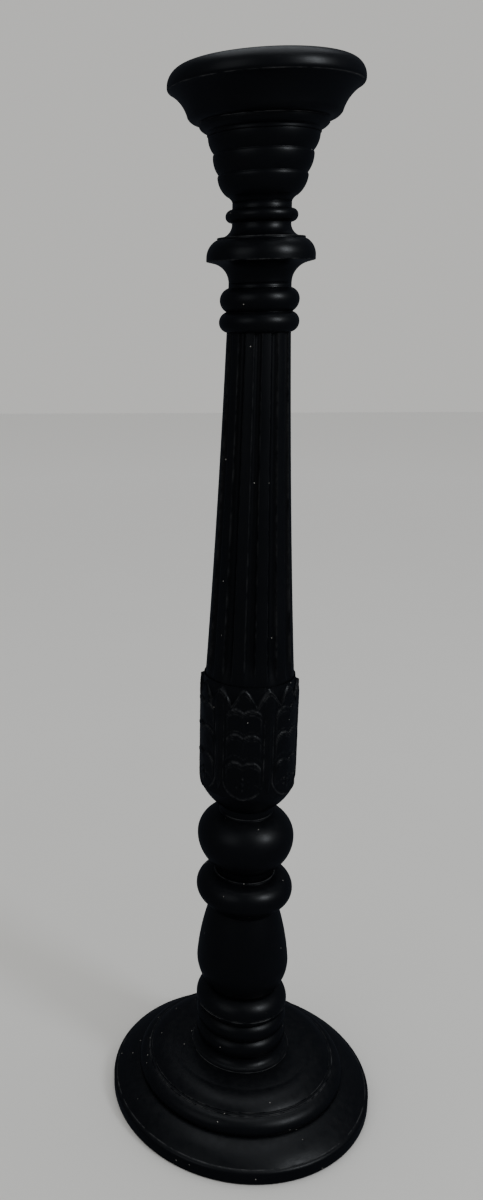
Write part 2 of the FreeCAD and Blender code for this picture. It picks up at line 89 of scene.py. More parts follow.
# shader maths: a Wire is a socket that can be calculated with
class Wire:
    def __init__(self, shader, socket):
        self.shader = shader
        self.socket = socket

    def calc(self, operation, *terms):
        return self.shader.add("ShaderNodeMath", {"operation": operation}, dict(enumerate(terms)))

    def __add__(self, other):
        return self.calc("ADD", self, other)

    def __sub__(self, other):
        return self.calc("SUBTRACT", self, other)

    def __rsub__(self, other):
        return self.calc("SUBTRACT", other, self)

    def __mul__(self, other):
        return self.calc("MULTIPLY", self, other)

    def __truediv__(self, other):
        return self.calc("DIVIDE", self, other)

    def __gt__(self, other):
        return self.calc("GREATER_THAN", self, other)

    def __lt__(self, other):
        return self.calc("LESS_THAN", self, other)

    __radd__ = __add__
    __rmul__ = __mul__


class Shader:
    def __init__(self, name, fixed):
        self.material = bpy.data.materials.new(name)
        self.material.use_nodes = True
        self.tree = self.material.node_tree
        self.surface = self.tree.nodes["Principled BSDF"]
        for socket, value in fixed.items():
            self.surface.inputs[socket].default_value = value

    # any node: its settings first, then the values or wires of its sockets
    def add(self, kind, settings=None, sockets=None, out=0):
        made = self.tree.nodes.new(kind)
        for key, value in (settings or {}).items():
            if key == "stops":
                self.setStops(made.color_ramp.elements, value)
            else:
                setattr(made, key, value)
        for key, value in (sockets or {}).items():
            if isinstance(value, Wire):
                self.tree.links.new(value.socket, made.inputs[key])
            else:
                made.inputs[key].default_value = value
        return Wire(self, made.outputs[out])

    def setStops(self, elements, stops):
        while len(elements) < len(stops):
            elements.new(1)
        for element, (place, grey) in zip(elements, stops):
            element.position = place
            element.color = (grey, grey, grey, 1)

    def feed(self, socket, wire):
        self.tree.links.new(wire.socket, self.surface.inputs[socket])

    def cloudy(self, vector, scale, detail=2, rough=0.5):
        sockets = {"Vector": vector, "Scale": scale, "Detail": detail, "Roughness": rough}
        return self.add("ShaderNodeTexNoise", None, sockets)

    def ramp(self, wire, stops):
        return self.add("ShaderNodeValToRGB", {"stops": stops}, {"Fac": wire})

    def mixColour(self, factor, first, second):
        sockets = {0: factor, 6: first, 7: second}
        return self.add("ShaderNodeMix", {"data_type": "RGBA"}, sockets, out=2)

    def bump(self, height, strength, distance, normal=None):
        sockets = {"Height": height, "Strength": strength, "Distance": distance}
        if normal:
            sockets["Normal"] = normal
        return self.add("ShaderNodeBump", None, sockets)


blackPaint = {
    "deep": (0.0016, 0.0020, 0.0029, 1),
    "pale": (0.0034, 0.0040, 0.0056, 1),
    # the lighter edge paint stands partly for scuffed paint and partly for a painted glint
    "rubbedAndGlint": (0.036, 0.037, 0.039, 1),
    "dust": (0.30, 0.29, 0.27, 1),
    "film": (0.012, 0.0125, 0.014, 1),
    "rough": 0.37,
    "roughSpread": 0.14,
    "speckCell": 170,
    "speckSize": 0.075,
    "speckShare": 0.84,
    "speckThin": 0.17,
    "shine": 0.3,
    "mottleRough": 0.10,
    "filmRough": 0.12,
    "rubbedGlintRough": 0.2,
    "dustRough": 0.4,
    "filmShare": 0.2,
    "wearGlintStops": [(0.42, 0), (0.62, 1)],
    "upwardStops": [(0.55, 0), (1, 1)],
    "patchStops": [(0.35, 0), (0.75, 1)],
    "relief": {"grain": 0.7, "peel": 0.3, "dust": 1.5},
    "bump": 0.35,
    "bumpDepth": 0.00022,
}


def makeBlackPaint(name, grainScale, rubbedGlintShare):
    paint = Shader(name, {"Specular IOR Level": blackPaint["shine"]})
    place = paint.add("ShaderNodeTexCoord", out=3)
    # slow changes in the film, and broken lighter paint on the edges: partly scuffed paint, partly a
    # painted glint along them
    cloud = paint.cloudy(place, 17, 3)
    mottle = paint.cloudy(place, 160, 4, 0.6)
    edge = paint.add("ShaderNodeAttribute", {"attribute_name": "wear"}, out=2)
    broken = paint.ramp(paint.cloudy(place, 90, 4, 0.7), blackPaint["wearGlintStops"])
    rubbedAndGlint = edge * broken * rubbedGlintShare
    # thin dust that lies on faces turned upwards
    facing = paint.add("ShaderNodeNewGeometry", out=1)
    upward = paint.add("ShaderNodeSeparateXYZ", None, {0: facing}, out=2)
    film = paint.ramp(upward, blackPaint["upwardStops"]) * paint.ramp(mottle, blackPaint["patchStops"])
    # single specks of dust, fewer further up
    height = paint.add("ShaderNodeSeparateXYZ", None, {0: place}, out=2)
    cells = {"Vector": place, "Scale": blackPaint["speckCell"]}
    speck = paint.add("ShaderNodeTexVoronoi", None, cells) < blackPaint["speckSize"]
    lot = paint.add("ShaderNodeTexVoronoi", None, cells, out=1)
    chosen = paint.add("ShaderNodeSeparateColor", None, {0: lot})
    chosen = chosen > height * blackPaint["speckThin"] + blackPaint["speckShare"]
    dust = speck * chosen
    colour = paint.mixColour(cloud, blackPaint["deep"], blackPaint["pale"])
    colour = paint.mixColour(film * blackPaint["filmShare"], colour, blackPaint["film"])
    # edges painted lighter: scuffed paint and a painted glint
    colour = paint.mixColour(rubbedAndGlint, colour, blackPaint["rubbedAndGlint"])
    colour = paint.mixColour(dust, colour, blackPaint["dust"])
    paint.feed("Base Color", colour)
    spread = (cloud - 0.5) * blackPaint["roughSpread"] + (mottle - 0.5) * blackPaint["mottleRough"]
    wornAndGlinting = film * blackPaint["filmRough"] + rubbedAndGlint * blackPaint["rubbedGlintRough"]
    paint.feed("Roughness", blackPaint["rough"] + spread + wornAndGlinting + dust * blackPaint["dustRough"])
    # turned or carved grain under the paint, and its own fine texture
    stretch = paint.add("ShaderNodeMapping", None, {"Vector": place, "Scale": grainScale})
    grain = paint.cloudy(stretch, 1, 3, 0.6)
    peel = paint.cloudy(place, 520, 2)
    share = blackPaint["relief"]
    relief = grain * share["grain"] + peel * share["peel"] + dust * share["dust"]
    paint.feed("Normal", paint.bump(relief, blackPaint["bump"], blackPaint["bumpDepth"]))
    return paint.material


# the last number is how strongly each piece gets the lighter edge paint, scuffing and painted glint
turnedPaint = makeBlackPaint("turnedBlackPaint", (130, 130, 420), 0.95)
carvedPaint = makeBlackPaint("carvedBlackPaint", (480, 480, 70), 0.7)
columnPaint = makeBlackPaint("columnBlackPaint", (520, 520, 38), 0.3)
print("paint mixed")


metals = {
    "zincSteel": {"dark": (0.30, 0.30, 0.29, 1), "pale": (0.52, 0.51, 0.49, 1), "rough": 0.34,
                  "scratches": (900, 900, 2600), "metal": 0.97},
    "panSteel": {"dark": (0.012, 0.012, 0.013, 1), "pale": (0.035, 0.034, 0.033, 1), "rough": 0.42,
                 "scratches": (700, 700, 700), "metal": 0.60},
}


def makeMetal(name):
    metal = metals[name]
    steel = Shader(name, {"Specular IOR Level": 0.5})
    place = steel.add("ShaderNodeTexCoord", out=3)
    stain = steel.cloudy(place, 70, 4, 0.6)
    stretch = steel.add("ShaderNodeMapping", None, {"Vector": place, "Scale": metal["scratches"]})
    scratch = steel.cloudy(stretch, 1, 3)
    steel.feed("Base Color", steel.mixColour(stain, metal["dark"], metal["pale"]))
    steel.feed("Metallic", metal["metal"] - stain * 0.08)
    steel.feed("Roughness", metal["rough"] + (scratch - 0.5) * 0.25 + (stain - 0.5) * 0.12)
    steel.feed("Normal", steel.bump(scratch, 0.25, 0.00008))
    return steel.material


zincSteel = makeMetal("zincSteel")
panSteel = makeMetal("panSteel")


def makeFelt():
    felt = Shader("felt", {"Roughness": 0.95, "Sheen Weight": 0.35, "Sheen Roughness": 0.6})
    place = felt.add("ShaderNodeTexCoord", out=3)
    fibre = felt.cloudy(place, 900, 6, 0.75)
    clump = felt.cloudy(place, 120, 3)
    felt.feed("Base Color", felt.mixColour(fibre, (0.006, 0.006, 0.007, 1), (0.045, 0.044, 0.046, 1)))
    felt.feed("Normal", felt.bump(fibre * 0.7 + clump * 0.3, 0.8, 0.0004))
    return felt.material


feltCloth = makeFelt()


# an outline is a list of (radius, height, bow, corner) in mm; the bow is the rise of the
# arc that ends there as a share of its chord, and "round" and "hollow" stand upright at
# their wide end; a corner is "crisp" where the edge paint is lighter, as scuffing and as a
# painted glint, and "cut" where it only turns
arcGrain = 1.3
nearlyFlat = 1e-4
weld = 1e-5
faint, slight, shallow, plump, quarter, eased, rolled = 0.03, 0.06, 0.1, 0.15, 0.16, 0.2, 0.5
cornerEase = 0.32
cornerGuard = 0.75


def bowOf(bow, dr, dz):
    if bow == "round":
        return math.tan(math.atan(abs(dr / dz)) / 2) / 2
    if bow == "hollow":
        return -math.tan(math.atan(abs(dr / dz)) / 2) / 2
    return bow


def walkArc(start, end, bow):
    dr, dz = end[0] - start[0], end[1] - start[1]
    chord = math.hypot(dr, dz)
    rise = bowOf(bow, dr, dz) * chord if bow else 0
    if abs(rise) < nearlyFlat:
        return [end]
    radius = (chord * chord / 4 + rise * rise) / (2 * abs(rise))
    side = math.copysign(1, rise)
    across = (dz / chord * side, -dr / chord * side)
    middle = [(start[i] + end[i]) / 2 + across[i] * (abs(rise) - radius) for i in (0, 1)]
    half = math.asin(min(1, chord / 2 / radius))
    steps = max(3, math.ceil(2 * half * radius / arcGrain))
    walked = []
    for step in range(1, steps + 1):
        turn = -half + 2 * half * step / steps
        along = radius * math.sin(turn)
        out = radius * math.cos(turn)
        walked.append((middle[0] + across[0] * out + dr / chord * along,
                       middle[1] + across[1] * out + dz / chord * along))
    return walked


def toward(start, end, far):
    length = math.dist(start, end)
    share = min(0.45, far / length)
    return (start[0] + (end[0] - start[0]) * share, start[1] + (end[1] - start[1]) * share)


def walkOutline(outline):
    spots, corners = [outline[0][:2]], [outline[0][3:] or ("",)]
    for before, after in zip(outline, outline[1:]):
        walked = walkArc(before[:2], after[:2], after[2] if len(after) > 2 else 0)
        spots += walked
        corners += [("",)] * (len(walked) - 1) + [after[3:] or ("",)]
    closed = outline[0][0] > 0.01
    path, wornAndGlinting = [], []
    for number, (spot, corner) in enumerate(zip(spots, corners)):
        if corner[0]:
            before = spots[number - 1]
            after = spots[(number + 1) % len(spots)]
            for other, far in ((before, cornerGuard), (before, cornerEase),
                               (after, cornerEase), (after, cornerGuard)):
                path.append(toward(spot, other, far))
                # crisp corners are marked for the lighter edge paint: scuffing and a painted glint
                if far == cornerEase and corner[0] == "crisp":
                    wornAndGlinting.append(path[-1])
        else:
            path.append(spot)
    if closed:
        path.append(path[0])
    return path, wornAndGlinting


def clearSelection():
    if bpy.context.object and bpy.context.object.mode != "OBJECT":
        bpy.ops.object.mode_set(mode="OBJECT")
    bpy.ops.object.select_all(action="DESELECT")


def paintWearAndGlint(piece, worth):
    wear = piece.data.attributes.new("wear", "FLOAT", "POINT")
    for vertex in piece.data.vertices:
        wear.data[vertex.index].value = worth(vertex.co)


def turnPiece(name, node, outline, steps=144):
    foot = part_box(node)[0][2]
    path, wornAndGlinting = walkOutline(outline)
    clearSelection()
    bpy.ops.mesh.primitive_plane_add(size=mm)
    piece = bpy.context.object
    piece.name = piece.data.name = name
    bpy.ops.object.mode_set(mode="EDIT")
    bpy.ops.mesh.merge(type="CENTER")
    bpy.ops.transform.translate(value=(path[0][0] * mm, 0, foot + path[0][1] * mm))
    for before, after in zip(path, path[1:]):
        step = ((after[0] - before[0]) * mm, 0, (after[1] - before[1]) * mm)
        bpy.ops.mesh.extrude_vertices_move(TRANSFORM_OT_translate={"value": step})
    bpy.ops.mesh.select_all(action="SELECT")
    bpy.ops.mesh.remove_doubles(threshold=weld)
    bpy.ops.mesh.spin(steps=steps, angle=math.tau, center=(0, 0, 0), axis=(0, 0, 1))
    bpy.ops.mesh.select_all(action="SELECT")
    bpy.ops.mesh.remove_doubles(threshold=weld)
    bpy.ops.mesh.normals_make_consistent(inside=False)
    bpy.ops.object.mode_set(mode="OBJECT")
    bpy.ops.object.shade_smooth()
    # the marked crisp points get the lighter edge paint, scuffing and a painted glint
    marks = {(round(r, 2), round(h, 2)) for r, h in wornAndGlinting}
    near = {(r + i / 100, h + j / 100) for r, h in marks for i in (-1, 0, 1) for j in (-1, 0, 1)}
    near = {(round(r, 2), round(h, 2)) for r, h in near}

    def worth(co):
        spot = (round(math.hypot(co.x, co.y) / mm, 2), round((co.z - foot) / mm, 2))
        return 1.0 if spot in near else 0.0

    paintWearAndGlint(piece, worth)
    return piece


def finishPiece(piece, node, body, material):
    piece.data.materials.clear()
    piece.data.materials.append(material)
    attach(piece, body)
    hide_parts(node)


bore = 6.0


def bead(belly, head, start, tall, corner="cut"):
    return [(belly, start + tall / 2, "round"), (head, start + tall, "round", corner)]


# the base
plinth = {
    "edge": 124.1, "edgeHigh": 13.2, "ease": 3.2, "rise": 25.2, "top": 97.0,
    "pocket": 14.0, "pocketHigh": 11.5,
}
dome = {
    "foot": 96.4, "ovolo": 98.2, "ovoloHigh": 14.6, "lineOut": 88.4, "lineIn": 86.0,
    "line": 1.2, "shoulder": 66.0, "crest": 24.2, "rise": 25.2, "flare": 47.5,
}
plinthPiece = turnPiece("plinth", "base_plinth", [
    (bore, plinth["pocketHigh"]),
    (plinth["pocket"], plinth["pocketHigh"], 0, "cut"),
    (plinth["pocket"], 0, 0, "cut"),
    (plinth["edge"], 0, 0, "crisp"),
    (plinth["edge"], plinth["edgeHigh"] - plinth["ease"]),
    (plinth["edge"] - plinth["ease"], plinth["edgeHigh"], quarter, "crisp"),
    (plinth["top"], plinth["rise"], slight, "cut"),
    (bore, plinth["rise"]),
], 192)
domePiece = turnPiece("dome", "base_dome", [
    (bore, 0),
    (dome["foot"], 0, 0, "cut"),
    (dome["ovolo"], dome["ovoloHigh"] / 3, "round"),
    (dome["lineOut"], dome["ovoloHigh"], quarter, "crisp"),
    (dome["lineOut"], dome["ovoloHigh"] + dome["line"], 0, "crisp"),
    (dome["lineIn"], dome["ovoloHigh"] + dome["line"], 0, "cut"),
    (dome["lineIn"], dome["ovoloHigh"] + 2 * dome["line"], 0, "crisp"),
    (dome["shoulder"], dome["crest"], shallow),
    (dome["flare"], dome["rise"], faint, "cut"),
    (bore, dome["rise"]),
], 192)
finishPiece(plinthPiece, "base_plinth", "stand", turnedPaint)
finishPiece(domePiece, "base_dome", "stand", turnedPaint)

feltRing = {"hole": 15.5, "edge": 122.1, "thick": 0.8}
feltPiece = turnPiece("feltRing", "base_felt", [
    (feltRing["hole"], 0.2),
    (feltRing["hole"] + 0.3, 0),
    (feltRing["edge"] - 0.3, 0),
    (feltRing["edge"], 0.2),
    (feltRing["edge"], feltRing["thick"]),
    (feltRing["hole"], feltRing["thick"]),
], 192)
finishPiece(feltPiece, "base_felt", "stand", feltCloth)
print("base turned")

# the stem under the leaf cup
ringFoot = {
    "flare": 46.5, "flareEdge": 0.9, "cove": 9.2, "ring": 42.4, "groove": 37.6, "tall": 18.0,
    "band": 42.8, "bandTall": 8.0, "line": 0.6, "top": 33.0, "cushion": 14.8,
}
bandFoot = ringFoot["cove"] + 2 * ringFoot["tall"]
lineFoot = bandFoot + ringFoot["bandTall"]
cushionFoot = lineFoot + 2 * ringFoot["line"]
footPiece = turnPiece("ringedFoot", "foot_collar", [
    (bore, 0),
    (ringFoot["flare"], 0, 0, "cut"),
    (ringFoot["flare"], ringFoot["flareEdge"], 0, "crisp"),
    (ringFoot["groove"], ringFoot["cove"], "hollow", "cut"),
    *bead(ringFoot["ring"], ringFoot["groove"], ringFoot["cove"], ringFoot["tall"]),
    *bead(ringFoot["ring"], ringFoot["groove"], ringFoot["cove"] + ringFoot["tall"], ringFoot["tall"]),
    (ringFoot["band"], lineFoot, "round", "crisp"),
    (ringFoot["band"] - ringFoot["line"], lineFoot + ringFoot["line"], 0, "cut"),
    (ringFoot["band"], cushionFoot, 0, "crisp"),
    (ringFoot["top"], cushionFoot + ringFoot["cushion"], "round", "cut"),
    (bore, cushionFoot + ringFoot["cushion"]),
])
finishPiece(footPiece, "foot_collar", "stand", turnedPaint)

vase = {"foot": 30.6, "belly": 42.7, "bellyHigh": 28.6, "neck": 31.4, "rise": 86.6}
vasePiece = turnPiece("vaseTurning", "vase", [
    (bore, 0),
    (vase["foot"], 0, 0, "cut"),
    (vase["belly"], vase["bellyHigh"], "round"),
    (vase["neck"], vase["rise"], faint, "cut"),
    (bore, vase["rise"]),
])
finishPiece(vasePiece, "vase", "stand", turnedPaint)

fillet = 1.8
swells = {
    "torus_ring": {"name": "thickRing", "neck": 32.4, "neckHigh": 6.2, "neckOut": 4.0, "belly": 44.0,
                   "bellyHigh": 19.4, "top": 27.6, "rise": 36.0},
    "ball": {"name": "ballTurning", "neck": 25.6, "neckHigh": 8.0, "neckOut": 2.8, "belly": 43.5,
             "bellyHigh": 36.6, "top": 24.2, "rise": 62.0},
}
for node, swell in swells.items():
    swellPiece = turnPiece(swell["name"], node, [
        (bore, 0),
        (swell["neck"], 0, 0, "cut"),
        (swell["neck"] + swell["neckOut"], swell["neckHigh"], 0, "cut"),
        (swell["belly"], swell["bellyHigh"], "round"),
        (swell["top"] + fillet / 2, swell["rise"] - fillet, "round", "cut"),
        (swell["top"], swell["rise"] - fillet, 0, "cut"),
        (swell["top"], swell["rise"], 0, "crisp"),
        (bore, swell["rise"]),
    ])
    finishPiece(swellPiece, node, "stand", turnedPaint)
print("lower stem turned")

# the carved leaf cup: mm above its foot, and degrees round it
leafCup = {
    "neck": 24.0, "neckHigh": 6.5, "wall": 42.9, "wallFoot": 29.0, "rise": 119.0,
    "tip": 132.0, "tipIn": 1.8, "seat": 39.35, "ground": 40.1, "pocket": 11.3,
    "pocketFoot": 86.0, "panels": 6, "turn": -95.0, "sunk": 0.8,
}
tips = {"valley": 114.5, "tall": 14.8, "rim": 1.2, "rimHigh": 0.8}
panel = {"half": 18.2, "round": 47.5, "rimWide": 1.28, "rimHigh": 0.75, "boldTall": 8.0, "fade": 104.0,
         "fadeTall": 12.0, "sunk": 0.25}
scallops = {"rows": (61.0, 86.5, 109.5), "half": 8.0, "arch": 3.8, "droop": 2.2,
            "high": 1.45, "fall": 10.0}
rosette = {"high": 43.0, "eye": 2.9, "ring": 5.6, "bead": 1.75, "count": 6, "rise": 1.25,
           "beadRise": 0.875}
spear = {"half": 3.4, "tipHalf": 9.5, "opening": (31.0, 49.0), "rising": (31.0, 39.0),
         "widening": (98.0, 114.0), "high": 1.1, "round": 0.7, "least": 0.3}


def smooth(low, high, value):
    share = min(1, max(0, (value - low) / (high - low)))
    return share * share * (3 - 2 * share)


def hump(distance, half):
    share = min(1, abs(distance) / half)
    return (1 - share * share) ** 2


def tipTop(turn):
    period = 180 / leafCup["panels"]
    off = abs((turn + period / 2) % period - period / 2) / (period / 2)
    return tips["valley"] + tips["tall"] * (1 - off ** 1.5)


def carve(turn, high):
    # how far the carving stands out at this turn, in degrees from a panel's middle
    wall = leafCup["wall"]
    side = wall * math.radians(turn)
    away = abs(side)
    out = 0.0
    # the panel's raised border: a U below, upright sides above
    below = max(0, panel["round"] - high)
    border = math.hypot(side, below) - panel["half"]
    upper = 1 - smooth(panel["fade"] - panel["fadeTall"], panel["fade"], high)
    bold = 0.5 + 0.5 * smooth(0, panel["boldTall"], below)
    out += panel["rimHigh"] * hump(border, panel["rimWide"]) * upper * bold
    inside = smooth(0.6, -1.2, border)
    # rows of double scallops, each standing out under its edge
    t = (away - scallops["half"]) / scallops["half"]
    arch = scallops["arch"] * (1 - t * t) - scallops["droop"] * (away / scallops["half"] / 2) ** 2
    reach = 1 - smooth(scallops["half"] * 2 - 1.5, scallops["half"] * 2 + 0.8, away)
    for row in scallops["rows"]:
        under = row + arch - high
        if -0.8 < under < scallops["fall"] * 2:
            lip = smooth(-0.7, 0.3, under) * math.exp(-max(0, under) / scallops["fall"])
            out += scallops["high"] * lip * reach * (1 - 0.35 * hump(under - 3.2, 1.1))
    # rosette in the round end
    climb = high - rosette["high"]
    out += rosette["rise"] * hump(math.hypot(side, climb), rosette["eye"])
    for number in range(rosette["count"]):
        bearing = math.tau * (number + 0.5) / rosette["count"]
        spot = (rosette["ring"] * math.cos(bearing), rosette["ring"] * math.sin(bearing))
        near = math.hypot(side - spot[0], climb - spot[1])
        out += rosette["beadRise"] * hump(near, rosette["bead"])
    # spears between the panels, broad at the tip
    aside = wall * math.radians(180 / leafCup["panels"]) - away
    wide = spear["half"] + (spear["tipHalf"] - spear["half"]) * smooth(*spear["widening"], high)
    wide *= smooth(*spear["opening"], high)
    if wide > spear["least"] and aside < wide:
        out += spear["high"] * (1 - aside / wide) ** spear["round"] * smooth(*spear["rising"], high)
    # rim along the tips, and a rib up the middle of each
    edge = tipTop(turn) - high
    out += tips["rimHigh"] * hump(edge - 0.9, tips["rim"]) + 0.5 * hump(edge - 3.4, 0.9)
    return out - inside * panel["sunk"]


def carveLeafCup():
    high = leafCup["rise"]
    wall = leafCup["wall"]
    outline = [
        (bore, 0),
        (leafCup["neck"], 0, 0, "cut"),
        (leafCup["neck"], leafCup["neckHigh"], 0, "cut"),
        (wall, leafCup["wallFoot"], slight),
    ]
    rows = 92
    for row in range(1, rows + 1):
        share = row / rows
        level = leafCup["wallFoot"] + (leafCup["tip"] - leafCup["wallFoot"]) * share
        inward = leafCup["tipIn"] * max(0, (level - high) / (leafCup["tip"] - high))
        corner = "cut" if row == rows else ""
        outline.append((wall - inward, level, 0, corner))
    outline += [
        (leafCup["seat"], leafCup["tip"]),
        (leafCup["seat"], high),
        (leafCup["pocket"], high),
        (leafCup["pocket"], leafCup["pocketFoot"]),
        (bore, leafCup["pocketFoot"]),
    ]
    piece = turnPiece("leafCup", "leaf_cup", outline, 480)
    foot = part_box("leaf_cup")[0][2]
    period = 360 / leafCup["panels"]
    wear = piece.data.attributes["wear"].data
    for vertex in piece.data.vertices:
        x, y, z = vertex.co
        radius = math.hypot(x, y) / mm
        level = (z - foot) / mm
        inNeck = radius < leafCup["neck"] + 0.5
        inMouth = radius < leafCup["seat"] + 0.2 and level > high - 0.1
        if inNeck or inMouth:
            continue
        turn = (math.degrees(math.atan2(y, x)) - leafCup["turn"] + period / 2) % period - period / 2
        here = carve(turn, level)
        around = (carve(turn + 0.9, level), carve(turn - 0.9, level),
                  carve(turn, level + 0.7), carve(turn, level - 0.7))
        # the proud ridges of the carving are marked for the lighter edge paint
        wear[vertex.index].value = min(1, max(0, (here - sum(around) / 4) * 7))
        spread = smooth(leafCup["neckHigh"] + 6, leafCup["wallFoot"], level)
        rough = noise.noise(vertex.co * 170) * 0.18
        carved = radius + (here + rough - leafCup["sunk"]) * spread
        # over the tips the plain wall lies further in
        under = smooth(-0.6, 0.5, tipTop(turn) - level)
        ground = leafCup["ground"] - 0.7 * smooth(leafCup["tip"] - 7, leafCup["tip"], level)
        size = (ground + (carved - ground) * under) / radius
        vertex.co = (x * size, y * size, z)
    piece.data.update()
    return piece


finishPiece(carveLeafCup(), "leaf_cup", "stand", carvedPaint)
print("leaf cup carved")

# the fluted column
column = {
    "foot": 39.2, "head": 25.4, "waist": 1.1, "rise": 300.0, "flutes": 12,
    "flute": 4.7, "out": 0.7, "levels": 60, "fillFoot": 8.0, "fillTop": 34.0,
}


def fluteReach():
    # half the flute's width in degrees, where its circle crosses the column's
    foot, far = column["foot"], column["foot"] + column["out"]
    return math.degrees(math.acos((far ** 2 + foot ** 2 - column["flute"] ** 2) / (2 * far * foot)))


def fluteSection():
    # (degrees, radius) of one flute and the rib after it
    far = column["foot"] + column["out"]
    reach = fluteReach()
    half = 180 / column["flutes"]
    section = []
    for share in (-0.97, -0.9, -0.75, -0.5, -0.25, 0, 0.25, 0.5, 0.75, 0.9, 0.97):
        turn = math.radians(reach * share)
        inner = max(0, column["flute"] ** 2 - (far * math.sin(turn)) ** 2)
        section.append((reach * share, min(column["foot"], far * math.cos(turn) - math.sqrt(inner))))
    # the rib after it, with both of its arrises eased
    for share, sunk in ((0, 0.55), (0.03, 0.2), (0.08, 0.05), (0.15, 0), (0.5, 0)):
        section.append((reach + (half - reach) * 2 * share, column["foot"] - sunk))
    for turn, radius in section[-2:-6:-1]:
        section.append((2 * half - turn, radius))
    return section


def columnRadius(level):
    share = level / column["rise"]
    straight = column["foot"] + (column["head"] - column["foot"]) * share
    return straight - 4 * column["waist"] * share * (1 - share)


def fluteColumn():
    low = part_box("fluted_column")[0][2]
    section = fluteSection()
    arris = fluteReach()
    period = 360 / column["flutes"]
    clearSelection()
    corners = len(section) * column["flutes"]
    bpy.ops.mesh.primitive_circle_add(vertices=corners, radius=column["foot"] * mm, location=(0, 0, 0))
    piece = bpy.context.object
    piece.name = piece.data.name = "flutedColumn"
    for number, vertex in enumerate(piece.data.vertices):
        flute, part = divmod(number, len(section))
        turn = math.radians(section[part][0] + flute * period)
        radius = section[part][1] * mm
        vertex.co = (radius * math.cos(turn), radius * math.sin(turn), low)
    bpy.ops.object.mode_set(mode="EDIT")
    bpy.ops.mesh.select_all(action="SELECT")
    # from the bore out to the foot, up to the head, in to the bore and back down
    profile = []
    for level in range(column["levels"] + 1):
        high = column["rise"] * level / column["levels"]
        profile.append((columnRadius(high), high))
    profile += [(bore, column["rise"]), (bore, 0), profile[0]]
    for before, after in zip(profile, profile[1:]):
        climb = (0, 0, (after[1] - before[1]) * mm)
        bpy.ops.mesh.extrude_region_move(TRANSFORM_OT_translate={"value": climb})
        size = after[0] / before[0]
        bpy.ops.transform.resize(value=(size, size, 1), center_override=(0, 0, low + after[1] * mm))
    bpy.ops.mesh.select_all(action="SELECT")
    bpy.ops.mesh.remove_doubles(threshold=2e-6)
    bpy.ops.mesh.normals_make_consistent(inside=False)
    bpy.ops.object.mode_set(mode="OBJECT")
    bpy.ops.object.shade_smooth_by_angle(angle=math.radians(50))

    # the flutes run out just above the leaf tips
    for vertex in piece.data.vertices:
        x, y, z = vertex.co
        radius = math.hypot(x, y) / mm
        level = (z - low) / mm
        if radius > bore + 1:
            full = columnRadius(level)
            size = 1 + (full / radius - 1) * (1 - smooth(column["fillFoot"], column["fillTop"], level))
            vertex.co = (x * size, y * size, z)

    # the eased arrises of the ribs are marked for the lighter edge paint: a painted glint along each
    # arris, with some scuffing
    def worth(co):
        level = (co.z - low) / mm
        bearing = math.degrees(math.atan2(co.y, co.x)) % period
        off = min(abs(bearing - arris), abs(bearing - period + arris))
        return (1 - smooth(0.4, 1.4, off)) * smooth(column["fillFoot"], column["fillTop"], level)

    paintWearAndGlint(piece, worth)
    return piece


finishPiece(fluteColumn(), "fluted_column", "stand", columnPaint)
print("column fluted")

# the turnings over the column
cap = {"groove": 25.8, "ring": 31.4, "ringTall": 15.6, "upper": 31.0, "upperTall": 18.0,
       "neck": 24.4, "rise": 37.0}
capPiece = turnPiece("columnCap", "column_cap", [
    (bore, 0),
    (cap["groove"], 0, 0, "cut"),
    *bead(cap["ring"], cap["groove"], 0, cap["ringTall"]),
    *bead(cap["upper"], cap["neck"], cap["ringTall"], cap["upperTall"]),
    (cap["neck"], cap["rise"]),
    (bore, cap["rise"]),
])
finishPiece(capPiece, "column_cap", "stand", turnedPaint)

collar = {"neck": 24.4, "cove": 15.0, "under": 36.4, "flat": 1.4, "edge": 42.0, "edgeTall": 3.2,
          "top": 34.8, "round": 12.4}
collarEdge = collar["cove"] + collar["flat"]
collarTop = collarEdge + collar["edgeTall"] + collar["round"]
collarPiece = turnPiece("collar", "collar_disc", [
    (bore, 0),
    (collar["neck"], 0),
    (collar["under"], collar["cove"], "hollow", "cut"),
    (collar["edge"], collarEdge, 0, "crisp"),
    (collar["edge"], collarEdge + collar["edgeTall"]),
    (collar["top"], collarTop, "round", "cut"),
    (collar["top"] - fillet / 2, collarTop, 0, "cut"),
    (collar["top"] - fillet / 2, collarTop + fillet, 0, "crisp"),
    (bore, collarTop + fillet),
])
finishPiece(collarPiece, "collar_disc", "stand", turnedPaint)

beadNeck = {"foot": 33.0, "cove": 8.5, "neck": 22.6, "gap": 2.1, "bead": 27.7, "beadTall": 9.6,
            "rise": 25.4}
beadFoot = beadNeck["cove"] + beadNeck["gap"]
beadPiece = turnPiece("beadNeck", "bead_neck", [
    (bore, 0),
    (beadNeck["foot"], 0, 0, "cut"),
    (beadNeck["neck"], beadNeck["cove"], -eased),
    (beadNeck["neck"], beadFoot, 0, "cut"),
    *bead(beadNeck["bead"], beadNeck["neck"], beadFoot, beadNeck["beadTall"]),
    (beadNeck["neck"], beadNeck["rise"]),
    (bore, beadNeck["rise"]),
])
finishPiece(beadPiece, "bead_neck", "stand", turnedPaint)

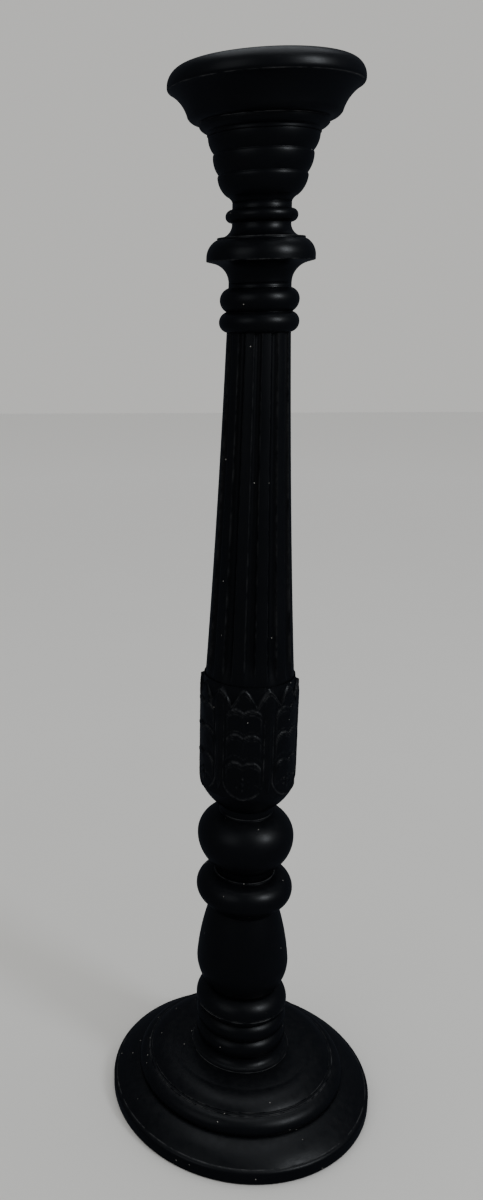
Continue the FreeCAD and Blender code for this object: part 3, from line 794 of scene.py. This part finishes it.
bell = {"neck": 22.6, "cove": 27.0, "coveTall": 4.4, "low": 34.3, "mid": 38.0, "top": 41.9,
        "lowTall": 19.6, "midTall": 15.0, "topTall": 12.2, "notch": 0.8, "shoulder": 2.1}
midFoot = bell["lowTall"]
topFoot = midFoot + bell["midTall"]
bellPiece = turnPiece("tieredBell", "tiered_bell", [
    (bore, 0),
    (bell["neck"], 0, 0, "cut"),
    (bell["cove"], bell["coveTall"], -shallow, "cut"),
    (bell["low"], midFoot - bell["shoulder"], shallow),
    (bell["low"] - bell["notch"], midFoot, "round", "cut"),
    (bell["mid"], topFoot - bell["shoulder"], "round"),
    (bell["mid"] - bell["notch"], topFoot, "round", "cut"),
    (bell["top"], topFoot + bell["topTall"], "round", "cut"),
    (bore, topFoot + bell["topTall"]),
])
finishPiece(bellPiece, "tiered_bell", "stand", turnedPaint)
print("upper stem turned")

# the cup, with its recess for the pan and the pocket for the nut
cup = {"foot": 42.6, "footTall": 2.6, "ledge": 48.4, "ledgeLow": 6.4, "ledgeHigh": 9.4,
       "bowl": 57.4, "bowlHigh": 13.6, "lipLow": 72.2, "lipLowHigh": 32.0, "lip": 73.0,
       "lipHigh": 35.0, "lipTop": 64.0, "rise": 47.0, "mouth": 62.0, "ease": 1.5,
       "floor": 33.0, "pocket": 14.0, "pocketHigh": 21.5}
cupPiece = turnPiece("candleCup", "candle_cup", [
    (bore, 0),
    (cup["foot"], 0, 0, "cut"),
    (cup["foot"], cup["footTall"], 0, "cut"),
    (cup["ledge"], cup["ledgeLow"], shallow),
    (cup["ledge"], cup["ledgeHigh"], 0, "crisp"),
    (cup["bowl"], cup["bowlHigh"], plump),
    (cup["lipLow"], cup["lipLowHigh"], -shallow, "crisp"),
    (cup["lip"], cup["lipHigh"], shallow),
    (cup["lipTop"], cup["rise"], "round"),
    (cup["mouth"] + cup["ease"], cup["rise"], 0),
    (cup["mouth"], cup["rise"] - cup["ease"], eased),
    (cup["mouth"], cup["floor"], 0, "cut"),
    (cup["pocket"], cup["floor"], 0, "crisp"),
    (cup["pocket"], cup["pocketHigh"], 0, "cut"),
    (bore, cup["pocketHigh"]),
], 192)
finishPiece(cupPiece, "candle_cup", "stand", turnedPaint)

pan = {"hole": 2.42, "thick": 1.0, "edge": 61.5, "wall": 8.2, "bend": 2.5,
       "ridge": 50.0, "ridgeHalf": 1.5, "ridgeHigh": 0.6}
panPiece = turnPiece("candlePan", "candle_pan", [
    (pan["hole"], pan["thick"], 0, "cut"),
    (pan["hole"], 0, 0, "cut"),
    (pan["edge"] - pan["bend"], 0, 0, "cut"),
    (pan["edge"], pan["bend"], eased),
    (pan["edge"], pan["wall"]),
    (pan["edge"] - pan["thick"], pan["wall"], -rolled),
    (pan["edge"] - pan["thick"], pan["bend"]),
    (pan["edge"] - pan["bend"], pan["thick"], -eased, "cut"),
    (pan["ridge"] + pan["ridgeHalf"], pan["thick"], 0, "cut"),
    (pan["ridge"], pan["thick"] + pan["ridgeHigh"], shallow),
    (pan["ridge"] - pan["ridgeHalf"], pan["thick"], shallow, "cut"),
], 192)
finishPiece(panPiece, "candle_pan", "pan", panSteel)

spike = {"head": 4.8, "headTall": 1.4, "shank": 2.4, "shankTop": 3.8, "tip": 0.4, "rise": 12.4}
spikePiece = turnPiece("candleSpike", "candle_spike", [
    (0, 0),
    (spike["head"], 0, 0, "crisp"),
    (spike["head"], spike["headTall"], 0, "crisp"),
    (spike["shank"], spike["headTall"], 0, "cut"),
    (spike["shank"], spike["shankTop"], 0, "cut"),
    (spike["tip"], spike["rise"] - 0.25),
    (0, spike["rise"], eased),
], 48)
finishPiece(spikePiece, "candle_spike", "pan", panSteel)
print("cup and pan made")

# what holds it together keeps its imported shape
for node in ("base_screws", "lower_rod", "upper_rod", "coupling_nut", "base_washer",
             "base_nut", "cup_washer", "cup_nut"):
    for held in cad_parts[node].material_slots:
        held.material = zincSteel


# pale floor and soft light
floorPaint = {"pale": (0.74, 0.73, 0.71, 1), "shade": (0.69, 0.68, 0.66, 1),
              "far": (0.95, 0.95, 0.95, 1), "reach": 3.6}


def layFloor():
    clearSelection()
    bpy.ops.mesh.primitive_plane_add(size=12, location=(0, 0, cadBox[0][2]))
    floor = bpy.context.object
    floor.name = "floor"
    stone = Shader("paleFloor", {"Roughness": 0.75})
    place = stone.add("ShaderNodeTexCoord", out=3)
    near = stone.mixColour(stone.cloudy(place, 3, 4), floorPaint["shade"], floorPaint["pale"])
    # painted light: the floor is painted paler the further it lies from the stand, so that far off it
    # looks as bright as the sky at the horizon
    away = stone.add("ShaderNodeVectorMath", {"operation": "LENGTH"}, {0: place}, out=1)
    far = stone.ramp(away / floorPaint["reach"], [(0.1, 0), (1, 1)])
    stone.feed("Base Color", stone.mixColour(far, near, floorPaint["far"]))
    floor.data.materials.append(stone.material)
    floor.visible_glossy = False


layFloor()

lamps = {
    "windowRight": {"place": (1.65, -1.05, 1.75), "size": (0.42, 0.8), "watts": 16},
    "windowLeft": {"place": (-1.35, -1.75, 1.7), "size": (1.4, 1.6), "watts": 4},
    "ceiling": {"place": (0.1, 0.35, 2.6), "size": (1.8, 1.8), "watts": 14},
}
aim = Vector((0, 0, 0.5))
coolLight = (0.90, 0.95, 1.0)
for name, lamp in lamps.items():
    bpy.ops.object.light_add(type="AREA", location=lamp["place"])
    light = bpy.context.object
    light.name = name
    light.data.shape = "RECTANGLE"
    light.data.size, light.data.size_y = lamp["size"]
    light.data.energy = lamp["watts"]
    light.data.color = coolLight
    light.rotation_euler = (aim - Vector(lamp["place"])).to_track_quat("-Z", "Y").to_euler()


skyLight = {"seen": (0.60, 0.595, 0.575, 1), "mirrored": (0.040, 0.046, 0.058, 1)}


def lightSky():
    sky = bpy.data.worlds.new("softRoom")
    sky.use_nodes = True
    bpy.context.scene.world = sky
    nodes, links = sky.node_tree.nodes, sky.node_tree.links
    nodes.clear()
    seen = nodes.new("ShaderNodeBackground")
    seen.inputs[0].default_value = skyLight["seen"]
    mirrored = nodes.new("ShaderNodeBackground")
    mirrored.inputs[0].default_value = skyLight["mirrored"]
    path = nodes.new("ShaderNodeLightPath")
    mix = nodes.new("ShaderNodeMixShader")
    out = nodes.new("ShaderNodeOutputWorld")
    links.new(path.outputs["Is Glossy Ray"], mix.inputs[0])
    links.new(seen.outputs[0], mix.inputs[1])
    links.new(mirrored.outputs[0], mix.inputs[2])
    links.new(mix.outputs[0], out.inputs[0])


lightSky()
print("room lit")
